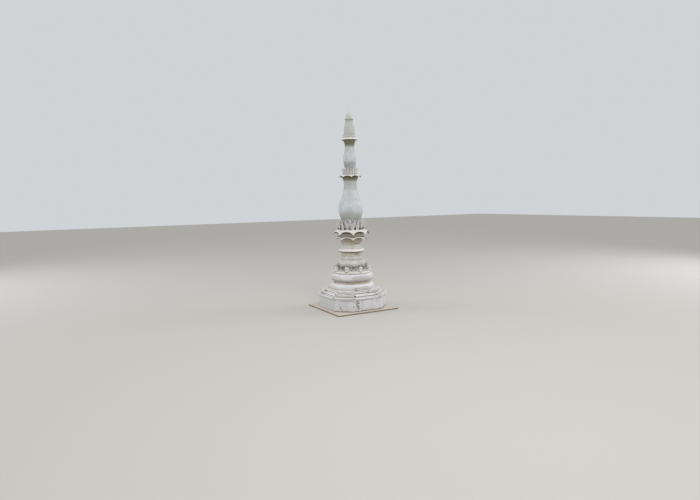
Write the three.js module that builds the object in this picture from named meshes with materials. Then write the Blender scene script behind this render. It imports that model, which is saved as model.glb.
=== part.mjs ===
// Limewashed masonry stupa: a square plinth, an eight-sided moulded base, lotus flanges with
// hanging points, rings of upright petals, and three bulbs of falling size under a pointed bud.
// Units are millimetres, +Z is up, the origin is on the ground below the axis. The square sides
// of the plinth face along X and Y, and the eight sides of the body face along X, Y and the
// diagonals between them.
import * as THREE from 'three';

// Plan
const SIDES = 8;
const SIDE_ANGLE = (2 * Math.PI) / SIDES;
const FIRST_ARRIS = SIDE_ANGLE / 2;
const BED = 0.3; // bed joint left between two pieces that touch

// Square foot: half sides, corner cuts and levels
const FOOTING_HALF = 1800;
const FOOTING_TOP = 80;
const BLOCK_HALF = 1580;
const BLOCK_CUT = 690;
const BLOCK_TOP = 740;
const LOWER_STEP_HALF = 1385;
const LOWER_STEP_CUT = 600;
const LOWER_STEP_TOP = 870;
const UPPER_STEP_HALF = 1250;
const UPPER_STEP_CUT = 530;
const UPPER_STEP_TOP = 1010;

// Levels of the eight-sided body, each the bed on which the next piece stands
const BASE_MOULDING_TOP = 1385;
const RECESS_TOP = 1520;
const TORUS_TOP = 1915;
const LEDGE_TOP = 2045;
const CUSHION_TOP = 2630;
const LOWER_NECK_TOP = 3045;
const WAIST_BAND_TOP = 3225;
const UPPER_NECK_TOP = 3640;
const LOWER_FLANGE_TOP = 3830;
const UPPER_FLANGE_TOP = 4240;
const MAIN_BULB_TOP = 6960;
const MIDDLE_FLANGE_TOP = 7160;
const MIDDLE_BULB_TOP = 8960;
const TOP_FLANGE_TOP = 9115;
const TOP_BULB_TOP = 10060;
const FINIAL_PLATE_TOP = 10125;
const BUD_TIP = 10500;

// Radii at the arrises
const MOULDING_FOOT_RADIUS = 1235;
const TORUS_RADIUS = 1135;
const RECESS_RADIUS = 985;
const LEDGE_RADIUS = 1085;
const CUSHION_RADIUS = 815;
const LOWER_NECK_RADIUS = 550;
const WAIST_RADIUS = 700;
const UPPER_NECK_RADIUS = 557;
const LOWER_FLANGE_RADIUS = 868;
const UPPER_FLANGE_RADIUS = 986;
const MAIN_BULB_RADIUS = 655;
const MIDDLE_FLANGE_RADIUS = 604;
const MIDDLE_BULB_RADIUS = 352;
const TOP_FLANGE_RADIUS = 450;
const TOP_BULB_RADIUS = 291;
const FINIAL_PLATE_RADIUS = 290;
const BUD_RADIUS = 166;

// How flat the eight sides of the softened pieces are: 0 is round, 1 is flat
const MOULDING_FLATNESS = 0.85;
const RECESS_FLATNESS = 0.8;
const TORUS_FLATNESS = 0.7;
const CUSHION_FLATNESS = 0.75;
const BULB_FLATNESS = 0.6;

// Fineness round the axis
const SOFTENED_STEPS_PER_SIDE = 4;
const FLANGE_STEPS_PER_SIDE = 8;
const STEPS_PER_PETAL = 4;
const BUD_SEGMENTS = 2 * SIDES;

// Petals in a ring
const PETALS = 16;

// Scroll brackets round the cushion
const BRACKET_THICKNESS = 180;
const BRACKET_BACK = 862;
const BRACKET_FRONT = 1045;
const BRACKET_HEIGHT = 258;
const BRACKET_HEAD_RADIUS = 70;
const BRACKET_HEAD_SETBACK = 92;

// Corner leaves: a low curb on each cut corner, with a pointed leaf that turns up at either end
const LEAF_THICKNESS = 68;
const LEAF_CURB_HEIGHT = 85;
const LEAF_WIDTH = 175;
const LEAF_SPLAY = 30;
const LEAF_LEAN = 75;
const LEAF_INSET = 6;

// Colours of weathered limewash
const COLOUR = {
  ground: 0xb5a99b,
  shaded: 0xbdbab6,
  wash: 0xcfccd0,
  bright: 0xdedde0,
  stained: 0xaa9f8b,
  bud: 0xe3eadf,
};

const stupa = new THREE.Group();
stupa.name = 'stupa';

function plaster(colour) {
  return new THREE.MeshStandardMaterial({ color: colour, roughness: 0.9, metalness: 0 });
}

function addPiece(name, geometry, colour) {
  const mesh = new THREE.Mesh(geometry, plaster(colour));
  mesh.name = name;
  stupa.add(mesh);
  return mesh;
}

// Level slab with a square plan whose corners may be cut.
function squareSlab(half, cut, bottom, top) {
  const outline = new THREE.Shape();
  outline.moveTo(half, -half + cut);
  outline.lineTo(half, half - cut);
  if (cut > 0) {
    outline.lineTo(half - cut, half);
  }
  outline.lineTo(-half + cut, half);
  if (cut > 0) {
    outline.lineTo(-half, half - cut);
  }
  outline.lineTo(-half, -half + cut);
  if (cut > 0) {
    outline.lineTo(-half + cut, -half);
  }
  outline.lineTo(half - cut, -half);
  outline.closePath();
  const slab = new THREE.ExtrudeGeometry(outline, { depth: top - bottom, bevelEnabled: false });
  slab.translate(0, 0, bottom);
  return slab;
}

// Distance from the axis to the cut face of a slab's corner.
function cornerFace(half, cut) {
  return (2 * half - cut) / Math.SQRT2;
}

// Body turned about the axis from pairs of arris radius and height, listed from the foot up.
function turned(profile, segments = SIDES) {
  const points = profile.map(([radius, height]) => new THREE.Vector2(radius, height));
  const body = new THREE.LatheGeometry(points, segments, FIRST_ARRIS);
  body.rotateX(Math.PI / 2);
  return body;
}

// Place across a side: 0 at its middle and 1 at the arris on either hand.
function acrossSide(angle) {
  const turns = angle / SIDE_ANGLE;
  return Math.abs(turns - Math.round(turns)) * 2;
}

// Share of the arris radius that a flat side keeps at this angle.
function flatSide(angle) {
  const fromMiddle = (acrossSide(angle) * SIDE_ANGLE) / 2;
  return Math.cos(SIDE_ANGLE / 2) / Math.cos(fromMiddle);
}

// Moves every point of a turned body. The rule is given the angle, radius and height of a point
// and answers with its new radius and height.
function reshape(geometry, rule) {
  const position = geometry.getAttribute('position');
  for (let i = 0; i < position.count; i += 1) {
    const angle = Math.atan2(position.getY(i), position.getX(i));
    const radius = Math.hypot(position.getX(i), position.getY(i));
    const [newRadius, newHeight] = rule(angle, radius, position.getZ(i));
    position.setXYZ(i, newRadius * Math.cos(angle), newRadius * Math.sin(angle), newHeight);
  }
  geometry.deleteAttribute('normal');
  geometry.deleteAttribute('uv');
  return geometry;
}

// Turned body whose eight sides are softened towards a circle: 0 is round, 1 has flat sides.
function softened(profile, flatness) {
  const body = turned(profile, SIDES * SOFTENED_STEPS_PER_SIDE);
  return reshape(body, (angle, radius, height) => {
    const share = 1 + (flatSide(angle) - 1) * flatness;
    return [radius * share, height];
  });
}

// Lotus flange: a thin spreading plate on a hub. Its rim hangs down in a point at each arris and
// rises in a flat arch over each side.
function lotusFlange(settings) {
  const { foot, footRadius, hubRadius, hubTop, drop, seat, seatRadius } = settings;
  const { rimHeight, rimRadius, rimThickness } = settings;
  const shoulder = rimRadius * 0.9;
  const underHeight = rimHeight - rimThickness;
  const profile = [
    [0, foot],
    [footRadius, foot],
    [hubRadius, hubTop],
    [shoulder, underHeight + rimThickness * 0.3],
    [rimRadius * 0.985, underHeight],
    [rimRadius, rimHeight],
    [shoulder, rimHeight + (seat - rimHeight) * 0.6],
    [seatRadius, seat],
    [0, seat],
  ];
  const plate = turned(profile, SIDES * FLANGE_STEPS_PER_SIDE);
  return reshape(plate, (angle, radius, height) => {
    const reach = Math.max(0, (radius - hubRadius) / (rimRadius - hubRadius));
    const point = Math.pow(acrossSide(angle), 3);
    const isUpperOrRim = height > hubTop - drop && radius > hubRadius + 1;
    const fall = isUpperOrRim ? drop * point * Math.pow(reach, 3) : 0;
    return [radius * flatSide(angle), height - fall];
  });
}

// Ring of upright pointed petals that grow from one low wall.
function petalRing({ foot, valley, tip, footRadius, tipRadius, thickness }) {
  const wall = [
    [0, 0],
    [1, 0],
    [1, 0.45],
    [1, 0.8],
    [1, 1],
    [0, 1],
    [0, 0.8],
    [0, 0.45],
    [0, 0],
  ];
  const points = wall.map(([side, level]) => new THREE.Vector2(footRadius - thickness * (1 - side), level));
  const ring = new THREE.LatheGeometry(points, PETALS * STEPS_PER_PETAL, 0);
  ring.rotateX(Math.PI / 2);
  return reshape(ring, (angle, radius, level) => {
    const turns = (angle / (2 * Math.PI)) * PETALS;
    const fromMiddle = Math.abs(turns - Math.round(turns)) * 2;
    const top = valley + (tip - valley) * (1 - Math.pow(fromMiddle, 1.4));
    const height = foot + (top - foot) * level;
    const rise = (height - foot) / (tip - foot);
    const flare = (tipRadius - footRadius) * rise * rise;
    const hollow = thickness * 0.35 * fromMiddle * level;
    return [radius + flare - hollow, height];
  });
}

// Curb along the cut corner of a step, its face turned outwards. A leaf at either end rises to a
// point that leans out.
function cornerLeaf({ halfWidth, height }) {
  const tip = halfWidth + LEAF_SPLAY;
  const root = halfWidth - LEAF_WIDTH;
  const inner = halfWidth - LEAF_WIDTH * 0.35;
  const outer = halfWidth + LEAF_SPLAY * 0.2;
  const outline = new THREE.Shape();
  outline.moveTo(-halfWidth, 0);
  outline.lineTo(halfWidth, 0);
  outline.quadraticCurveTo(outer, height * 0.55, tip, height);
  outline.quadraticCurveTo(inner, height * 0.75, root, LEAF_CURB_HEIGHT);
  outline.lineTo(-root, LEAF_CURB_HEIGHT);
  outline.quadraticCurveTo(-inner, height * 0.75, -tip, height);
  outline.quadraticCurveTo(-outer, height * 0.55, -halfWidth, 0);
  const settings = { depth: LEAF_THICKNESS, bevelEnabled: false, curveSegments: 5 };
  const leaf = new THREE.ExtrudeGeometry(outline, settings);
  leaf.rotateX(Math.PI / 2);
  leaf.rotateZ(Math.PI / 2);
  const position = leaf.getAttribute('position');
  for (let i = 0; i < position.count; i += 1) {
    const rise = position.getZ(i) / height;
    position.setX(i, position.getX(i) + LEAF_LEAN * rise * rise);
  }
  return leaf;
}

// Scroll bracket: its neck stands on the ledge and rises to a round head that leans in.
function scrollBracket() {
  const foot = LEDGE_TOP + BED;
  const headRadius = BRACKET_HEAD_RADIUS;
  const headX = BRACKET_FRONT - BRACKET_HEAD_SETBACK;
  const headZ = foot + BRACKET_HEIGHT - headRadius;
  const outline = new THREE.Shape();
  outline.moveTo(BRACKET_BACK, foot);
  outline.lineTo(BRACKET_FRONT, foot);
  const headFront = headX + headRadius;
  outline.bezierCurveTo(BRACKET_FRONT + 25, foot + 55, BRACKET_FRONT + 5, headZ - 60, headFront, headZ);
  outline.absarc(headX, headZ, headRadius, 0, 1.2 * Math.PI, false);
  outline.bezierCurveTo(headX - 40, headZ - 80, BRACKET_BACK + 50, foot + 60, BRACKET_BACK, foot);
  const settings = { depth: BRACKET_THICKNESS, bevelEnabled: false, curveSegments: 6 };
  const bracket = new THREE.ExtrudeGeometry(outline, settings);
  bracket.translate(0, 0, -BRACKET_THICKNESS / 2);
  bracket.rotateX(Math.PI / 2);
  return bracket;
}

// Foot
addPiece('footing', squareSlab(FOOTING_HALF, 0, 0, FOOTING_TOP), COLOUR.ground);
addPiece('plinth_block', squareSlab(BLOCK_HALF, BLOCK_CUT, FOOTING_TOP + BED, BLOCK_TOP), COLOUR.wash);
addPiece(
  'plinth_step_lower',
  squareSlab(LOWER_STEP_HALF, LOWER_STEP_CUT, BLOCK_TOP + BED, LOWER_STEP_TOP),
  COLOUR.bright,
);
addPiece(
  'plinth_step_upper',
  squareSlab(UPPER_STEP_HALF, UPPER_STEP_CUT, LOWER_STEP_TOP + BED, UPPER_STEP_TOP),
  COLOUR.bright,
);

// Corner leaves: three on each corner, one to a ledge, each flush with the cut face below it
const LEAF_ROWS = [
  { row: 'lower', bed: BLOCK_TOP, half: BLOCK_HALF, cut: BLOCK_CUT, height: 190 },
  { row: 'middle', bed: LOWER_STEP_TOP, half: LOWER_STEP_HALF, cut: LOWER_STEP_CUT, height: 150 },
  { row: 'upper', bed: UPPER_STEP_TOP, half: UPPER_STEP_HALF, cut: UPPER_STEP_CUT, height: 125 },
];
const CORNERS = [
  { corner: 'front', angle: -0.75 * Math.PI },
  { corner: 'right', angle: -0.25 * Math.PI },
  { corner: 'back', angle: 0.25 * Math.PI },
  { corner: 'left', angle: 0.75 * Math.PI },
];
for (const { corner, angle } of CORNERS) {
  for (const { row, bed, half, cut, height } of LEAF_ROWS) {
    const shape = cornerLeaf({ halfWidth: cut / Math.SQRT2 - LEAF_INSET, height });
    const leaf = addPiece(`corner_leaf_${corner}_${row}`, shape, COLOUR.bright);
    leaf.rotation.z = angle;
    const reach = cornerFace(half, cut) - LEAF_THICKNESS;
    leaf.position.set(reach * Math.cos(angle), reach * Math.sin(angle), bed + BED);
  }
}

// Base mouldings
addPiece(
  'base_moulding',
  softened(
    [
      [0, UPPER_STEP_TOP + BED],
      [MOULDING_FOOT_RADIUS, UPPER_STEP_TOP + BED],
      [MOULDING_FOOT_RADIUS, 1080],
      [MOULDING_FOOT_RADIUS - 15, 1105],
      [MOULDING_FOOT_RADIUS - 11, 1180],
      [1206, 1250],
      [1162, 1315],
      [1095, 1365],
      [1040, BASE_MOULDING_TOP],
      [0, BASE_MOULDING_TOP],
    ],
    MOULDING_FLATNESS,
  ),
  COLOUR.bright,
);
addPiece(
  'recess_course',
  softened(
    [
      [0, BASE_MOULDING_TOP + BED],
      [RECESS_RADIUS, BASE_MOULDING_TOP + BED],
      [RECESS_RADIUS, RECESS_TOP],
      [0, RECESS_TOP],
    ],
    RECESS_FLATNESS,
  ),
  COLOUR.stained,
);
addPiece(
  'torus_moulding',
  softened(
    [
      [0, RECESS_TOP + BED],
      [1035, RECESS_TOP + BED],
      [1100, 1568],
      [1128, 1635],
      [TORUS_RADIUS, 1710],
      [1127, 1785],
      [1103, 1845],
      [1060, 1892],
      [1040, TORUS_TOP],
      [0, TORUS_TOP],
    ],
    TORUS_FLATNESS,
  ),
  COLOUR.bright,
);
addPiece(
  'bracket_ledge',
  softened(
    [
      [0, TORUS_TOP + BED],
      [1055, TORUS_TOP + BED],
      [LEDGE_RADIUS, 1938],
      [LEDGE_RADIUS - 4, 2015],
      [1055, LEDGE_TOP],
      [0, LEDGE_TOP],
    ],
    MOULDING_FLATNESS,
  ),
  COLOUR.wash,
);

// Scroll brackets on the eight sides
for (let side = 0; side < SIDES; side += 1) {
  const bracket = addPiece(`scroll_bracket_${side + 1}`, scrollBracket(), COLOUR.wash);
  bracket.rotation.z = side * SIDE_ANGLE;
}

addPiece(
  'carved_cushion',
  softened(
    [
      [0, LEDGE_TOP + BED],
      [855, LEDGE_TOP + BED],
      [835, 2075],
      [792, 2115],
      [780, 2170],
      [798, 2250],
      [CUSHION_RADIUS, 2335],
      [810, 2408],
      [768, 2482],
      [715, 2550],
      [640, CUSHION_TOP],
      [0, CUSHION_TOP],
    ],
    CUSHION_FLATNESS,
  ),
  COLOUR.shaded,
);

// Waist between cushion and flanges
addPiece(
  'lower_neck',
  turned([
    [0, CUSHION_TOP + BED],
    [625, CUSHION_TOP + BED],
    [580, 2700],
    [LOWER_NECK_RADIUS, 2785],
    [LOWER_NECK_RADIUS + 6, 2868],
    [572, 2898],
    [572, LOWER_NECK_TOP],
    [0, LOWER_NECK_TOP],
  ]),
  COLOUR.wash,
);
addPiece(
  'waist_band',
  turned([
    [0, LOWER_NECK_TOP + BED],
    [WAIST_RADIUS - 25, LOWER_NECK_TOP + BED],
    [WAIST_RADIUS, 3068],
    [WAIST_RADIUS, 3152],
    [640, WAIST_BAND_TOP],
    [0, WAIST_BAND_TOP],
  ]),
  COLOUR.bright,
);
addPiece(
  'upper_neck',
  turned([
    [0, WAIST_BAND_TOP + BED],
    [610, WAIST_BAND_TOP + BED],
    [575, 3298],
    [UPPER_NECK_RADIUS, 3423],
    [565, 3520],
    [590, UPPER_NECK_TOP],
    [0, UPPER_NECK_TOP],
  ]),
  COLOUR.stained,
);

// Great lotus: two flanges and two rings of petals round the foot of the main bulb
addPiece(
  'lower_lotus_flange',
  lotusFlange({
    seat: LOWER_FLANGE_TOP,
    seatRadius: 690,
    rimHeight: 3790,
    rimRadius: LOWER_FLANGE_RADIUS,
    drop: 105,
    rimThickness: 45,
    footRadius: 600,
    hubRadius: 600,
    hubTop: 3750,
    foot: UPPER_NECK_TOP + BED,
  }),
  COLOUR.stained,
);
addPiece(
  'upper_lotus_flange',
  lotusFlange({
    seat: UPPER_FLANGE_TOP,
    seatRadius: 800,
    rimHeight: 4150,
    rimRadius: UPPER_FLANGE_RADIUS,
    drop: 180,
    rimThickness: 50,
    footRadius: 660,
    hubRadius: 660,
    hubTop: 4080,
    foot: LOWER_FLANGE_TOP + BED,
  }),
  COLOUR.wash,
);
addPiece(
  'great_petals_outer',
  petalRing({
    foot: UPPER_FLANGE_TOP + BED,
    valley: 4390,
    tip: 4640,
    footRadius: 745,
    tipRadius: 805,
    thickness: 70,
  }),
  COLOUR.wash,
);
const innerPetals = addPiece(
  'great_petals_inner',
  petalRing({
    foot: UPPER_FLANGE_TOP + BED,
    valley: 4500,
    tip: 4760,
    footRadius: 625,
    tipRadius: 670,
    thickness: 70,
  }),
  COLOUR.wash,
);
innerPetals.rotation.z = Math.PI / PETALS;
addPiece(
  'main_bulb',
  softened(
    [
      [0, UPPER_FLANGE_TOP + BED],
      [484, UPPER_FLANGE_TOP + BED],
      [490, 4600],
      [513, 4755],
      [556, 4873],
      [601, 5018],
      [645, 5184],
      [MAIN_BULB_RADIUS, 5340],
      [641, 5494],
      [592, 5665],
      [533, 5831],
      [471, 6020],
      [409, 6209],
      [369, 6352],
      [345, 6496],
      [342, 6650],
      [350, 6814],
      [375, 6900],
      [405, MAIN_BULB_TOP],
      [0, MAIN_BULB_TOP],
    ],
    BULB_FLATNESS,
  ),
  COLOUR.wash,
);

// Middle lotus and bulb
addPiece(
  'middle_lotus_flange',
  lotusFlange({
    seat: MIDDLE_FLANGE_TOP,
    seatRadius: 440,
    rimHeight: 7115,
    rimRadius: MIDDLE_FLANGE_RADIUS,
    drop: 90,
    rimThickness: 38,
    footRadius: 415,
    hubRadius: 415,
    hubTop: 7060,
    foot: MAIN_BULB_TOP + BED,
  }),
  COLOUR.bright,
);
addPiece(
  'middle_petals',
  petalRing({
    foot: MIDDLE_FLANGE_TOP + BED,
    valley: 7290,
    tip: 7515,
    footRadius: 395,
    tipRadius: 430,
    thickness: 60,
  }),
  COLOUR.wash,
);
addPiece(
  'middle_bulb',
  softened(
    [
      [0, MIDDLE_FLANGE_TOP + BED],
      [277, MIDDLE_FLANGE_TOP + BED],
      [288, 7490],
      [298, 7638],
      [335, 7796],
      [MIDDLE_BULB_RADIUS, 7974],
      [348, 8132],
      [295, 8310],
      [255, 8468],
      [236, 8600],
      [252, 8700],
      [284, 8840],
      [325, MIDDLE_BULB_TOP],
      [0, MIDDLE_BULB_TOP],
    ],
    BULB_FLATNESS,
  ),
  COLOUR.wash,
);

// Top lotus and bulb
addPiece(
  'top_lotus_flange',
  lotusFlange({
    seat: TOP_FLANGE_TOP,
    seatRadius: 340,
    rimHeight: 9080,
    rimRadius: TOP_FLANGE_RADIUS,
    drop: 55,
    rimThickness: 32,
    footRadius: 328,
    hubRadius: 370,
    hubTop: 9030,
    foot: MIDDLE_BULB_TOP + BED,
  }),
  COLOUR.bright,
);
addPiece(
  'top_petals',
  petalRing({
    foot: TOP_FLANGE_TOP + BED,
    valley: 9190,
    tip: 9275,
    footRadius: 336,
    tipRadius: 336,
    thickness: 32,
  }),
  COLOUR.wash,
);
addPiece(
  'top_bulb',
  softened(
    [
      [0, TOP_FLANGE_TOP + BED],
      [281, TOP_FLANGE_TOP + BED],
      [TOP_BULB_RADIUS, 9350],
      [288, 9480],
      [264, 9662],
      [217, 9818],
      [195, 9950],
      [205, TOP_BULB_TOP],
      [0, TOP_BULB_TOP],
    ],
    BULB_FLATNESS,
  ),
  COLOUR.wash,
);

// Finial
addPiece(
  'finial_plate',
  turned([
    [0, TOP_BULB_TOP + BED],
    [FINIAL_PLATE_RADIUS - 30, TOP_BULB_TOP + BED],
    [FINIAL_PLATE_RADIUS, 10085],
    [FINIAL_PLATE_RADIUS, 10112],
    [180, FINIAL_PLATE_TOP],
    [0, FINIAL_PLATE_TOP],
  ]),
  COLOUR.bright,
);
addPiece(
  'finial_bud',
  turned(
    [
      [0, FINIAL_PLATE_TOP + BED],
      [150, FINIAL_PLATE_TOP + BED],
      [BUD_RADIUS, 10190],
      [162, 10258],
      [134, 10325],
      [98, 10388],
      [46, 10455],
      [0, BUD_TIP],
    ],
    BUD_SEGMENTS,
  ),
  COLOUR.bud,
);

export default stupa;
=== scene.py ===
import math
import random

import bmesh
import bpy
from mathutils import Matrix, Vector


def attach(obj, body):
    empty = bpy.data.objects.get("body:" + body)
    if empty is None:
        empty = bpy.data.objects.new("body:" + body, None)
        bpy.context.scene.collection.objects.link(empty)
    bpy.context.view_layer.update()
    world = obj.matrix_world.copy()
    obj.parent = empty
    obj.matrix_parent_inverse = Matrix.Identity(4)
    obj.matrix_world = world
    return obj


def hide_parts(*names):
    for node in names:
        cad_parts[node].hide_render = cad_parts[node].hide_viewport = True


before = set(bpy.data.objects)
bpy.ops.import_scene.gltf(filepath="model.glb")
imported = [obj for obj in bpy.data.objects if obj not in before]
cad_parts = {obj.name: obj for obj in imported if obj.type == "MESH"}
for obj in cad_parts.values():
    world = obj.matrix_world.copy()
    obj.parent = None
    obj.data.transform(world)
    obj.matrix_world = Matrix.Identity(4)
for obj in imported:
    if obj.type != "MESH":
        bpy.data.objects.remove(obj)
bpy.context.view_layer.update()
random.seed(11)
print("stage: frame loaded")

sides = 8                      # faces of the body
sideAngle = 2 * math.pi / sides
halfSide = sideAngle / 2       # the faces look along X and Y, so the first arris lies half a side from X
weld = 0.0002                  # vertices nearer than this are one
onLine = 1e-4                  # and within this they lie on one line


# Selection and finishing
def deselectAll():
    bpy.ops.object.select_all(action="DESELECT")


def work(piece):
    # makes one piece the only selected one
    deselectAll()
    bpy.context.view_layer.objects.active = piece
    piece.select_set(True)


def edit(piece, kind="VERT"):
    work(piece)
    bpy.ops.object.mode_set(mode="EDIT")
    bpy.ops.mesh.select_mode(type=kind)


def leaveEdit():
    bpy.ops.object.mode_set(mode="OBJECT")


def selectAll():
    bpy.ops.mesh.select_all(action="SELECT")


def pick(kind, test=lambda part: True):
    # in edit mode: selects the vertices, edges or faces that pass the test
    mesh = bpy.context.object.data
    shape = bmesh.from_edit_mesh(mesh)
    bpy.ops.mesh.select_all(action="DESELECT")
    found = 0
    for part in {"VERT": shape.verts, "EDGE": shape.edges, "FACE": shape.faces}[kind]:
        if test(part):
            part.select_set(True)
            found += 1
    shape.select_flush_mode()
    bmesh.update_edit_mesh(mesh)
    return found


def extrude(move):
    bpy.ops.mesh.extrude_region_move(TRANSFORM_OT_translate={"value": tuple(move)})


def normalsOut():
    selectAll()
    bpy.ops.mesh.normals_make_consistent(inside=False)


def placed():
    # the active object, with its place, turn and size applied
    bpy.ops.object.transform_apply(location=True, rotation=True, scale=True)
    return bpy.context.object


def addModifier(piece, kind, **settings):
    work(piece)
    modifier = piece.modifiers.new(kind.lower(), kind)
    for name, value in settings.items():
        setattr(modifier, name, value)
    bpy.ops.object.modifier_apply(modifier=modifier.name)


def rubEdges(piece, width, angle=60, segments=2):
    addModifier(piece, "BEVEL", width=width, segments=segments, limit_method="ANGLE",
                angle_limit=math.radians(angle))


def thicken(piece, thickness):
    addModifier(piece, "SOLIDIFY", thickness=thickness, offset=0)


def roughen(piece, texture, strength):
    addModifier(piece, "DISPLACE", texture=texture, texture_coords="LOCAL", strength=strength, mid_level=0.5)


def cloudTexture(name, size, depth=2):
    texture = bpy.data.textures.new(name, "CLOUDS")
    texture.noise_scale = size
    texture.noise_depth = depth
    return texture


handCloud = cloudTexture("handTrowelled", 0.42)    # slow waves of a wall rendered by hand
floatCloud = cloudTexture("floatMarks", 0.13)      # dents of the float
breakCloud = cloudTexture("brokenEdge", 0.075, 3)  # ragged edge of lost plaster


def trowel(piece, wave=0.0, dent=0.0, edge=0.0, angle=30, segments=2):
    # rubbed arrises and the uneven skin of hand laid lime plaster
    if edge:
        rubEdges(piece, edge, angle, segments)
    for texture, depth in ((handCloud, wave), (floatCloud, dent)):
        if depth:
            roughen(piece, texture, depth)


def finish(piece, name, material, slot, *nodes, smooth=35):
    # last steps of every piece: clean mesh, name, finish, body and the CAD nodes it stands for
    edit(piece)
    selectAll()
    bpy.ops.mesh.remove_doubles(threshold=weld)
    normalsOut()
    leaveEdit()
    bpy.ops.object.shade_smooth_by_angle(angle=math.radians(smooth))
    piece.name = name
    piece.data.name = name
    if material:
        piece.data.materials.clear()
        piece.data.materials.append(material)
    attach(piece, "root")
    if nodes:
        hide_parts(*nodes)


def turned(piece, angle):
    # turns a piece round the axis of the stupa
    work(piece)
    piece.matrix_world = Matrix.Rotation(angle, 4, "Z") @ piece.matrix_world
    return placed()


def copyTurned(piece, angle):
    # a copy with a mesh of its own, turned round the axis of the stupa
    work(piece)
    bpy.ops.object.duplicate(linked=False)
    return turned(bpy.context.object, angle)


def joined(pieces):
    bpy.context.view_layer.update()
    deselectAll()
    for piece in pieces:
        piece.select_set(True)
    bpy.context.view_layer.objects.active = pieces[0]
    bpy.ops.object.join()
    return bpy.context.object


def shapeSheet(columns, rows, rule):
    # a grid whose points are moved one by one to where the rule puts them; across and up run 0 to 1
    deselectAll()
    bpy.ops.mesh.primitive_grid_add(x_subdivisions=columns, y_subdivisions=rows, size=1)
    piece = bpy.context.object
    edit(piece)
    for row in range(rows + 1):
        for column in range(columns + 1):
            across, up = column / columns, row / rows
            index = row * (columns + 1) + column
            pick("VERT", lambda v: v.index == index)
            move = Vector(rule(across, up)) - Vector((across - 0.5, up - 0.5, 0))
            bpy.ops.transform.translate(value=move)
    leaveEdit()
    return piece


def drawLine(points):
    # leaves edit mode open on a line of edges drawn through the points
    deselectAll()
    bpy.ops.mesh.primitive_plane_add(size=0.01, location=points[0])
    piece = placed()
    edit(piece)
    selectAll()
    bpy.ops.mesh.merge(type="CENTER")
    for a, b in zip(points, points[1:]):
        extrude(q - p for p, q in zip(a, b))
    return piece


def strap(points, thick, taper=0.7):
    # a round strap of stucco laid along the points, thinner towards its end
    drawLine(points)
    leaveEdit()
    bpy.ops.object.convert(target="CURVE")
    curve = bpy.context.object
    curve.data.dimensions = "3D"
    curve.data.bevel_depth = thick
    curve.data.bevel_resolution = 1
    curve.data.use_fill_caps = True
    run = curve.data.splines[0].points
    start = Vector(points[0])
    backwards = (run[0].co.xyz - start).length > (run[-1].co.xyz - start).length
    for i, point in enumerate(run):
        along = i / (len(run) - 1)
        point.radius = 1 - (1 - taper) * ((1 - along) if backwards else along)
    bpy.ops.object.convert(target="MESH")
    return bpy.context.object


# Shapes that rise round the axis
def fair(strand, step):
    # a smooth run of points through the given ones, about one step apart
    if len(strand) == 2:
        (r0, z0), (r1, z1) = strand
        count = max(1, round(math.hypot(r1 - r0, z1 - z0) / step))
        return [(r0 + (r1 - r0) * i / count, z0 + (z1 - z0) * i / count) for i in range(count + 1)]
    padded = [strand[0]] + list(strand) + [strand[-1]]
    points = [strand[0]]
    for a, b, c, d in zip(padded, padded[1:], padded[2:], padded[3:]):
        count = max(1, round(math.dist(b, c) / step))
        for i in range(1, count + 1):
            t = i / count
            points.append(tuple(
                0.5 * (2 * b[k] + (c[k] - a[k]) * t + (2 * a[k] - 5 * b[k] + 4 * c[k] - d[k]) * t * t
                       + (3 * b[k] - a[k] - 3 * c[k] + d[k]) * t ** 3) for k in range(len(b))))
    return points


def profile(strands, step):
    # smooth strands with a corner between two: each one starts where the one before it ended
    points = fair(strands[0], step)
    for before, strand in zip(strands, strands[1:]):
        points += fair([before[-1]] + strand, step)[1:]
    return points


def newRing(count, start, fill="NOTHING"):
    # leaves edit mode open on a level ring of this radius and height, an arris half a side from X
    deselectAll()
    radius, height = start
    bpy.ops.mesh.primitive_circle_add(vertices=count, radius=radius, location=(0, 0, height),
                                      rotation=(0, 0, math.pi / count), fill_type=fill)
    piece = placed()
    edit(piece)
    selectAll()
    return piece


def drawUp(points):
    # in edit mode, with a closed ring at the first point: draws it up through the others and caps it
    bpy.ops.mesh.select_mode(type="EDGE")
    pick("EDGE")
    for (r0, z0), (r1, z1) in zip(points, points[1:]):
        extrude((0, 0, z1 - z0))
        if abs(r1 - r0) > 1e-6:
            bpy.ops.transform.resize(value=(r1 / r0, r1 / r0, 1))
    bpy.ops.mesh.edge_face_add()


def arrisShare(place):
    # 0 at the middle of a face and 1 at its arrises
    turns = math.atan2(place.y, place.x) / sideAngle
    return abs(turns - round(turns)) * 2


def eightSided(strands, step, cuts, roundness):
    # closed eight-sided body: a ring drawn up the profile, its faces a little rounded
    points = profile(strands, step)
    piece = newRing(sides, points[0])
    bpy.ops.mesh.subdivide(number_cuts=cuts)
    if roundness:
        for level in range(cuts + 1):
            share = abs(2 * level / (cuts + 1) - 1)
            pick("VERT", lambda v: abs(arrisShare(v.co) - share) < 0.06)
            flat = math.cos(halfSide) / math.cos(math.atan(share * math.tan(halfSide)))
            grown = 1 + (1 / flat - 1) * roundness
            bpy.ops.transform.resize(value=(grown, grown, 1))
    selectAll()
    bpy.ops.mesh.edge_face_add()
    drawUp(points)
    normalsOut()
    leaveEdit()
    return piece


# Materials
def linear(code):
    # an sRGB hex colour as linear light
    parts = [int(code[i:i + 2], 16) / 255 for i in (1, 3, 5)]
    return [p / 12.92 if p <= 0.04045 else ((p + 0.055) / 1.055) ** 2.4 for p in parts] + [1.0]


def addNode(tree, kind, inputs=(), output=0, **settings):
    # inputs are numbers, hex colours or outputs of other nodes
    node = tree.nodes.new(kind)
    for name, value in settings.items():
        setattr(node, name, value)
    for name, value in dict(inputs).items():
        if isinstance(value, bpy.types.NodeSocket):
            tree.links.new(value, node.inputs[name])
        else:
            node.inputs[name].default_value = linear(value) if isinstance(value, str) else value
    return node.outputs[output]


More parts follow.
